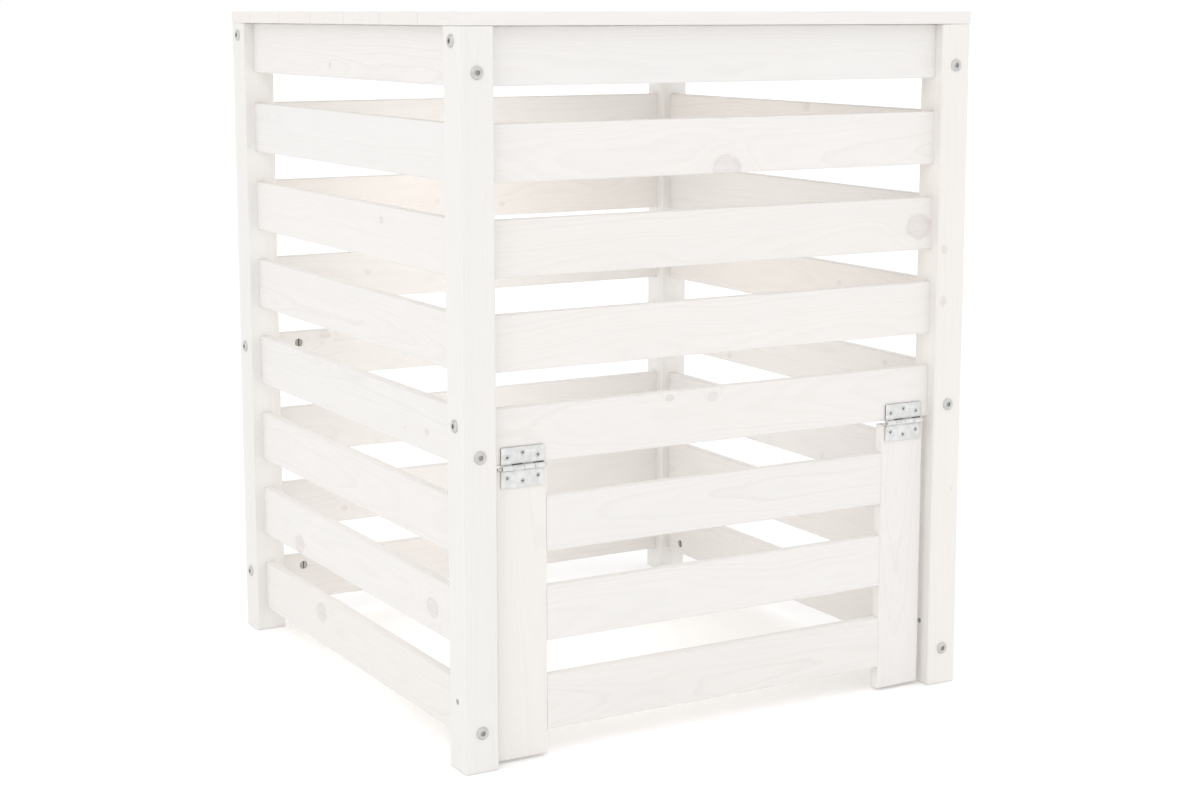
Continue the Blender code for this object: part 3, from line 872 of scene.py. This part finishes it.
def bolt_mesh():
    """Connector bolt: flat round head with a hexagon socket, shank and thread."""
    flat = 0.0024
    profile = [
        (0.0, 0.00075), (flat, 0.00085), (flat, 0.0012), (flat, 0.0016), (flat, 0.0019), (flat + 0.00020, 0.00207),
        (0.0034, 0.00215), (0.0044, 0.00212), (0.0053, 0.00198), (0.0060, 0.00168), (0.00645, 0.00125),
        (0.00668, 0.00075), (0.00675, 0.00035), (0.00662, 0.00006), (0.00640, 0.0), (0.0046, 0.0),
        (0.00330, 0.0), (0.00305, -0.0003), (0.0030, -0.0008), (0.0030, -0.0250), (0.0030, -0.0500),
    ]
    hex_rings = {1, 2, 3, 4, 5}
    smooth_rings = len(profile)
    pitch, turns_from, turns_to = 0.0010, -0.0505, -0.0742
    steps = int(round((turns_from - turns_to) / (pitch / 4)))
    for j in range(steps + 1):
        profile.append((0.0030, turns_from + (turns_to - turns_from) * j / steps))
    thread_rings = range(smooth_rings, len(profile))
    profile += [(0.0025, -0.0746), (0.0020, -0.0750), (0.0, -0.0750)]

    def shape(i, t, r):
        if i in hex_rings:
            return hexagon(t, r)
        if i in thread_rings:
            z = profile[i][1]
            wave = (z / pitch - t / (2 * math.pi)) % 1.0
            depth = 0.00045 * abs(2 * wave - 1)
            fade = min(1.0, (turns_from - z) / 0.0015, (z - turns_to) / 0.0008)
            return r - depth * max(0.0, fade)
        return r
    mesh = turned(profile, 48, shape)

    def deep(p):
        r = np.hypot(p[:, 0], p[:, 1])
        # painted shade in the hexagon socket
        inside = (r < 2.80) & (p[:, 2] > 0.5) & (p[:, 2] < 1.95)
        return np.where(inside, 0.38, 0.0)
    finish_metal(mesh, 32.0, deep)
    mesh.name = "connector_bolt"
    return mesh


def barrel_mesh():
    """Barrel nut: a short rod with a screwdriver slot and a cross hole for the bolt."""
    r = 0.00490
    profile = [
        (0.0, 0.0), (r - 0.0016, 0.0), (r - 0.0005, 0.0), (r - 0.0001, -0.0002), (r, -0.0005),
        (r, -0.0030), (r, -0.0050), (r, -0.0070), (r, -0.0093), (r - 0.0001, -0.0096), (r - 0.0005, -0.0098), (0.0, -0.0098),
    ]
    body = turned(profile, 48)
    bm = bmesh.new()
    add_box(bm, (0.0120, 0.0013, 0.0026), (0.0, 0.0, 0.0))
    slot = from_bmesh(bm, "slot")
    bm = bmesh.new()
    add_cylinder(bm, 0.00265, 0.02, "Y", (0.0, 0.0, -0.0056), 24)
    hole = from_bmesh(bm, "hole")
    mesh = carve(body, [(slot, "DIFFERENCE"), (hole, "DIFFERENCE")])

    def deep(p):
        r_now = np.hypot(p[:, 0], p[:, 1])
        # painted shade in the screwdriver slot and on the nut's rim and sides, where it meets its hole
        slot_in = (np.abs(p[:, 1]) < 0.70) & (p[:, 2] < -0.4) & (p[:, 2] > -1.5)
        rim = r_now > 4.72
        return np.where(slot_in, 0.9, np.where(rim, 0.80, 0.0))
    finish_metal(mesh, 32.0, deep)
    mesh.name = "barrel_nut"
    return mesh


def wood_screw_mesh(head_r, head_h, shank_r, length, cross):
    """Countersunk screw with a cross recess; its head's top is at z = 0."""
    profile = [(0.0, 0.0), (head_r * 0.55, 0.0), (head_r * 0.93, -0.00003), (head_r, -0.00018), (head_r * 0.97, -0.00035)]
    profile += [(shank_r + (head_r * 0.97 - shank_r) * (1 - t), -0.00035 - (head_h - 0.00035) * t) for t in (0.5, 1.0)]
    first = len(profile)
    pitch = 0.0014
    tip = length * 0.22
    steps = int(round((length - head_h) / (pitch / 4)))
    for j in range(1, steps + 1):
        z = -head_h - (length - head_h) * j / steps
        taper = min(1.0, (length + z) / tip)
        profile.append((max(0.0003, shank_r * (0.30 + 0.70 * taper)), z))
    thread = range(first, len(profile))
    profile.append((0.0, -length - 0.0003))

    def shape(i, t, r):
        if i in thread:
            z = profile[i][1]
            wave = (z / pitch - t / (2 * math.pi)) % 1.0
            return r * (0.72 + 0.28 * (1 - abs(2 * wave - 1)) ** 2)
        return r
    body = turned(profile, 24, shape)
    bm = bmesh.new()
    for turn in (0.0, math.pi / 2):
        # a wing of the cross narrows towards the bottom of the recess
        made = add_box(bm, (2 * cross, cross * 0.46, 0.0026), (0, 0, 0))
        for v in made:
            if v.co.z < 0:
                v.co.x *= 0.42
                v.co.y *= 0.75
        bmesh.ops.rotate(bm, verts=made, cent=(0, 0, 0), matrix=Matrix.Rotation(turn, 3, "Z"))
        if turn == 0.0:
            first_wing = from_bmesh(bm, "wing_a")
            bm = bmesh.new()
    second_wing = from_bmesh(bm, "wing_b")
    mesh = carve(body, [(first_wing, "DIFFERENCE"), (second_wing, "DIFFERENCE")])

    def deep(p):
        r_now = np.hypot(p[:, 0], p[:, 1])
        # painted shade in the cross recess
        inside = (r_now < cross * 1000 * 1.06) & (p[:, 2] < -0.12) & (p[:, 2] > -1.45)
        return np.where(inside, 1.0, 0.0)
    finish_metal(mesh, 30.0, deep)
    return mesh


def facing(direction, spin=0.0):
    """A turn that takes +Z to a direction, after a spin about +Z."""
    return Vector(direction).to_track_quat("Z", "Y").to_matrix().to_4x4() @ Matrix.Rotation(spin, 4, "Z")


BOLT, BARREL = bolt_mesh(), barrel_mesh()
spins = random.Random("fasteners")
for fore, sy in (("front", -1), ("rear", 1)):
    for side, sx in (("left", -1), ("right", 1)):
        for number in BOLTED:
            z = slat_centre(number)
            # along X, through the post into a front or rear slat; the front
            # wall has no fixed slat 8, so that hole of the front posts is bare
            if sy > 0 or number <= FRONT_SLATS:
                keep(
                    BOLT.copy(), f"bolt_{fore}_{side}_side_{number}", "bin", BOLT_METAL,
                    place=Matrix.Translation((sx * WIDTH / 2, sy * SLAT_CY, z + BOLT_OFFSET)) @ facing((sx, 0, 0), spins.uniform(0, 1.04)),
                )
                keep(
                    BARREL.copy(), f"barrel_nut_{fore}_{side}_{number}", "bin", NUT_METAL,
                    place=Matrix.Translation((sx * (WIDTH / 2 - NUT_FROM_OUTSIDE), sy * (SLAT_CY - SLAT_T / 2 + 0.00035), z + BOLT_OFFSET))
                    @ Matrix(((0, sx, 0), (0, 0, -sy), (-sx * sy, 0, 0))).to_4x4(),
                )
            # along Y, through the post into a side slat
            keep(
                BOLT.copy(), f"bolt_{fore}_{side}_face_{number}", "bin", BOLT_METAL,
                place=Matrix.Translation((sx * SLAT_CX, sy * DEPTH / 2, z - BOLT_OFFSET)) @ facing((0, sy, 0), spins.uniform(0, 1.04)),
            )
            keep(
                BARREL.copy(), f"barrel_nut_{side}_{fore}_{number}", "bin", NUT_METAL,
                place=Matrix.Translation((sx * (SLAT_CX - SLAT_T / 2 + 0.00035), sy * (DEPTH / 2 - NUT_FROM_OUTSIDE), z - BOLT_OFFSET))
                @ Matrix(((0, 0, -sx), (0, sy, 0), (sx * sy, 0, 0))).to_4x4(),
            )

# ------------------------------------------------------------------ hinges
def knuckle_span(k):
    step = HINGE_LEN / 4
    x0 = -HINGE_LEN / 2 + k * step + (KNUCKLE_CLEAR if k else 0.0)
    x1 = -HINGE_LEN / 2 + (k + 1) * step - (KNUCKLE_CLEAR if k < 3 else 0.0)
    return x0, x1


def leaf_mesh(up, own):
    """A pressed leaf: plate with rounded corners and countersunk holes, its
    rolled knuckles and the pin's bore.  Local X along the pin, Z up, front -Y."""
    half, front, back = HINGE_LEN / 2, KNUCKLE_R - HINGE_T, KNUCKLE_R
    corner, soft = 0.0012, 0.00022
    outline = [(-half, LEAF_START), (half, LEAF_START)]
    for cx, start in ((half - corner, 0.0), (-half + corner, 90.0)):
        outline += [
            (cx + corner * math.cos(math.radians(start + 15 * i)), HINGE_LEAF - corner + corner * math.sin(math.radians(start + 15 * i)))
            for i in range(7)
        ]
    bm = bmesh.new()
    face = bm.faces.new([bm.verts.new((px, back, up * pz)) for px, pz in outline])
    out = bmesh.ops.extrude_face_region(bm, geom=[face])
    bmesh.ops.translate(bm, vec=(0, front - back, 0), verts=[v for v in out["geom"] if isinstance(v, bmesh.types.BMVert)])
    bm.normal_update()
    rim = [e for e in bm.edges if all(abs(v.co.y - front) < 1e-7 for v in e.verts)]
    bmesh.ops.bevel(bm, geom=rim, offset=soft, segments=2, profile=0.5, affect="EDGES")
    plate = from_bmesh(bm, "plate")

    operands = []
    bm = bmesh.new()
    for hx, hz in SCREW_SPOTS:
        add_cylinder(bm, 0.0019, 0.004, "Y", (hx, front, up * hz), 32)
    operands.append((from_bmesh(bm, "holes"), "DIFFERENCE"))
    bm = bmesh.new()
    for hx, hz in SCREW_SPOTS:
        # narrow end inside the plate, wide end just in front of it
        add_cylinder(bm, 0.00335, 0.0014, "Y", (hx, front + 0.0004, up * hz), 32, radius2=0.0018)
    operands.append((from_bmesh(bm, "countersinks"), "DIFFERENCE"))
    bm = bmesh.new()
    for k in own:
        x0, x1 = knuckle_span(k)
        reach = LEAF_START + 0.0012
        add_box(bm, (x1 - x0 - 0.0002, HINGE_T - 0.0001, reach), ((x0 + x1) / 2, KNUCKLE_R - HINGE_T / 2, up * reach / 2))
    operands.append((from_bmesh(bm, "straps"), "UNION"))
    if up > 0:
        # painted shade: a thin dark web of sheet behind the other leaf's knuckles, so that the gap above them reads
        # black
        bm = bmesh.new()
        for k in range(4):
            if k not in own:
                x0, x1 = knuckle_span(k)
                add_box(bm, (x1 - x0 - 0.0004, 0.0004, 0.00165), ((x0 + x1) / 2, 0.00275, LEAF_START - 0.0005))
        operands.append((from_bmesh(bm, "shadow_webs"), "UNION"))
    bm = bmesh.new()
    for k in own:
        x0, x1 = knuckle_span(k)
        before = set(bm.edges)
        add_cylinder(bm, KNUCKLE_R, x1 - x0, "X", ((x0 + x1) / 2, 0, 0), 48)
        rims = [e for e in bm.edges if e not in before and abs((e.verts[0].co - e.verts[1].co).x) < 1e-7]
        bmesh.ops.bevel(bm, geom=rims, offset=0.00018, segments=2, profile=0.5, affect="EDGES")
    operands.append((from_bmesh(bm, "knuckles"), "UNION"))
    bm = bmesh.new()
    add_cylinder(bm, PIN_BORE_R, HINGE_LEN * 1.2, "X", (0, 0, 0), 32)
    operands.append((from_bmesh(bm, "bore"), "DIFFERENCE"))
    # the seam where the rolled end of the sheet comes round to meet the plate
    bm = bmesh.new()
    made = add_box(bm, (HINGE_LEN * 1.2, 0.0016, 0.00022), (0, 0, 0))
    bmesh.ops.rotate(bm, verts=made, cent=(0, 0, 0), matrix=Matrix.Rotation(math.radians(-38 * up), 3, "X"))
    bmesh.ops.translate(bm, vec=(0, 0.00185, up * 0.00175), verts=made)
    operands.append((from_bmesh(bm, "seam"), "DIFFERENCE"))
    mesh = carve(plate, operands)

    def deep(p):
        x, y, z = p[:, 0], p[:, 1], p[:, 2] * up
        # painted shade: the crevice above the knuckles, the dark web, the pin's bore and the plate's back edges,
        # darkest on the upper leaf
        crevice = (z > 1.2) & (z < 3.75) & (y > 0.9) & (np.abs(x) < half * 1000 - 0.3)
        shadow_web = (z > 2.2) & (z < 3.75) & (y > 2.4) & (up > 0)
        bore = (np.hypot(y, z) < 1.72) & (np.abs(x) < half * 1000 - 0.3)
        shaded_edge = (y > front * 1000 + 0.15) & ((np.abs(x) > half * 1000 - 0.1) | (z > HINGE_LEAF * 1000 - 0.1)) & (z > 3.6)
        return np.where(bore, 0.9, np.where(shadow_web, 1.0, np.where(crevice, 0.5, np.where(shaded_edge, 0.9 if up > 0 else 0.3, 0.0))))
    finish_metal(mesh, 34.0, deep)
    return mesh


def pin_mesh():
    r, left, right = PIN_R, -0.0300, 0.0270
    profile = [(0.0, left), (r * 0.55, left + 0.00004), (r * 0.85, left + 0.00018), (r, left + 0.00045)]
    profile += [(r, left + 0.00045 + (right - left - 0.0009) * i / 12) for i in range(1, 13)]
    profile += [(r * 0.85, right - 0.00018), (r * 0.55, right - 0.00004), (0.0, right)]
    mesh = turned(profile, 32)
    mesh.transform(Matrix.Rotation(math.pi / 2, 4, "Y"))
    finish_metal(mesh, 40.0)
    return mesh


LEAF_UP, LEAF_DOWN, PIN = leaf_mesh(1, (0, 2)), leaf_mesh(-1, (1, 3)), pin_mesh()
HINGE_SCREW = wood_screw_mesh(0.00300, 0.0013, 0.00145, 0.0120, 0.00205)
for side, sx in (("left", -1), ("right", 1)):
    place = Matrix.Translation((sx * HINGE_X, HINGE_Y, HINGE_Z))
    keep(LEAF_UP.copy(), f"hinge_{side}_upper_plate", "bin", HINGE_METAL, (f"hinge_{side}_upper_leaf",), place)
    keep(LEAF_DOWN.copy(), f"hinge_{side}_lower_plate", "door", HINGE_METAL, (f"hinge_{side}_lower_leaf",), place)
    pin_body = frame["nodes"][f"hinge_{side}_pin"]["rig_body"]
    keep(PIN.copy(), f"hinge_{side}_pin_rod", pin_body, PIN_METAL, (f"hinge_{side}_pin",), place)
    for up, body, label in ((1, "bin", "upper"), (-1, "door", "lower")):
        for i, (hx, hz) in enumerate(SCREW_SPOTS, 1):
            spot = place @ Matrix.Translation((hx, KNUCKLE_R - HINGE_T - 0.00005, up * hz))
            keep(
                HINGE_SCREW.copy(), f"hinge_{side}_{label}_screw_{i}", body, BOLT_METAL,
                place=spot @ facing((0, -1, 0), spins.uniform(0, 1.5)),
            )

# ------------------------------------------------------------------ lid screws
LID_SCREW = wood_screw_mesh(0.0034, 0.0024, 0.0017, 0.0230, 0.0017)
for number, spots in LID_HEADS.items():
    for side, row, x, y, spin in spots:
        keep(
            LID_SCREW.copy(), f"lid_screw_{side}_{number}{row}", "lid", BOLT_METAL,
            place=Matrix.Translation((x, y, LID_TOP - 0.0005)) @ facing((0, 0, 1), spin),
        )

for spare in (BOLT, BARREL, LEAF_UP, LEAF_DOWN, PIN, HINGE_SCREW, LID_SCREW):
    bpy.data.meshes.remove(spare)

# ------------------------------------------------------------------ studio
mat, n, shader = start_material("studio_floor")
place = n.new("ShaderNodeTexCoord").outputs["Object"]
patch = n.noise(place, scale=1.3, detail=3.0)
n.put(shader.inputs["Base Color"], n.mix(patch, (0.965, 0.965, 0.965), (0.980, 0.980, 0.980)))
shader.inputs["Emission Color"].default_value = (1.0, 1.0, 1.0, 1.0)
shader.inputs["Emission Strength"].default_value = 0.06
shader.inputs["Roughness"].default_value = 0.85
shader.inputs["Specular IOR Level"].default_value = 0.1
bm = bmesh.new()
bmesh.ops.create_circle(bm, cap_ends=True, cap_tris=True, segments=96, radius=40.0)
floor = bpy.data.objects.new("studio_floor", from_bmesh(bm, "studio_floor"))
floor.location.z = -0.0004
floor.data.materials.append(mat)
bpy.context.scene.collection.objects.link(floor)
floor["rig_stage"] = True

world = bpy.data.worlds.new("studio_world")
bpy.context.scene.world = world
world.use_nodes = True
world.node_tree.nodes["Background"].inputs["Color"].default_value = (1.0, 1.0, 1.0, 1.0)
world.node_tree.nodes["Background"].inputs["Strength"].default_value = 1.0


def lamp_object(name, data, location, target):
    lamp = bpy.data.objects.new(name, data)
    lamp.location = location
    lamp.rotation_euler = (Vector(target) - Vector(location)).to_track_quat("-Z", "Y").to_euler()
    lamp.visible_camera = False
    bpy.context.scene.collection.objects.link(lamp)
    return lamp


def softbox(name, location, target, size, power):
    data = bpy.data.lights.new(name, "AREA")
    data.shape = "RECTANGLE"
    data.size, data.size_y = size
    data.energy = power
    return lamp_object(name, data, location, target)


# a very wide, even light from above and in front, as from a lit ceiling
ceiling = bpy.data.lights.new("ceiling_light", "SUN")
ceiling.energy = 0.30
ceiling.angle = math.radians(75.0)
lamp_object("ceiling_light", ceiling, (-2.5, -1.6, 4.4), (0, 0, 0))
softbox("key_softbox", (-2.5, -1.9, 2.4), (0, 0, 0.4), (1.3, 1.3), 6.0)
softbox("fill_softbox", (2.8, -1.6, 1.8), (0, 0, 0.4), (1.3, 1.3), 3.0)

# three small soft lamps stand in the bin, so that its inner faces read as
# clearly through the gaps as they do in the photograph
for i, (height, power) in enumerate(((0.14, 0.46), (0.38, 0.42), (0.61, 0.68)), 1):
    data = bpy.data.lights.new(f"inside_lamp_{i}", "POINT")
    data.energy = power
    data.shadow_soft_size = 0.11
    data.color = (1.0, 0.988, 0.968)
    lamp = lamp_object(f"inside_lamp_{i}", data, (-0.06, 0.05, height), (-0.06, 0.05, 0.0))
    lamp.visible_glossy = False

cam = bpy.data.cameras.new("photo_camera")
cam.sensor_width = 36.0
cam.lens = 63.66
cam.shift_x, cam.shift_y = -0.0002, -0.055
cam.clip_start, cam.clip_end = 0.05, 120.0
camera = bpy.data.objects.new("photo_camera", cam)
camera.location = (-1.2318, -2.1944, 0.7750)
camera.rotation_euler = (math.radians(90.0 - 8.641), 0.0, math.radians(-29.744))
bpy.context.scene.collection.objects.link(camera)
bpy.context.scene.camera = camera

view = bpy.context.scene.view_settings
view.view_transform = "Standard"
view.look = "None"
view.exposure = 0.0
view.gamma = 1.0

low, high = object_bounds()
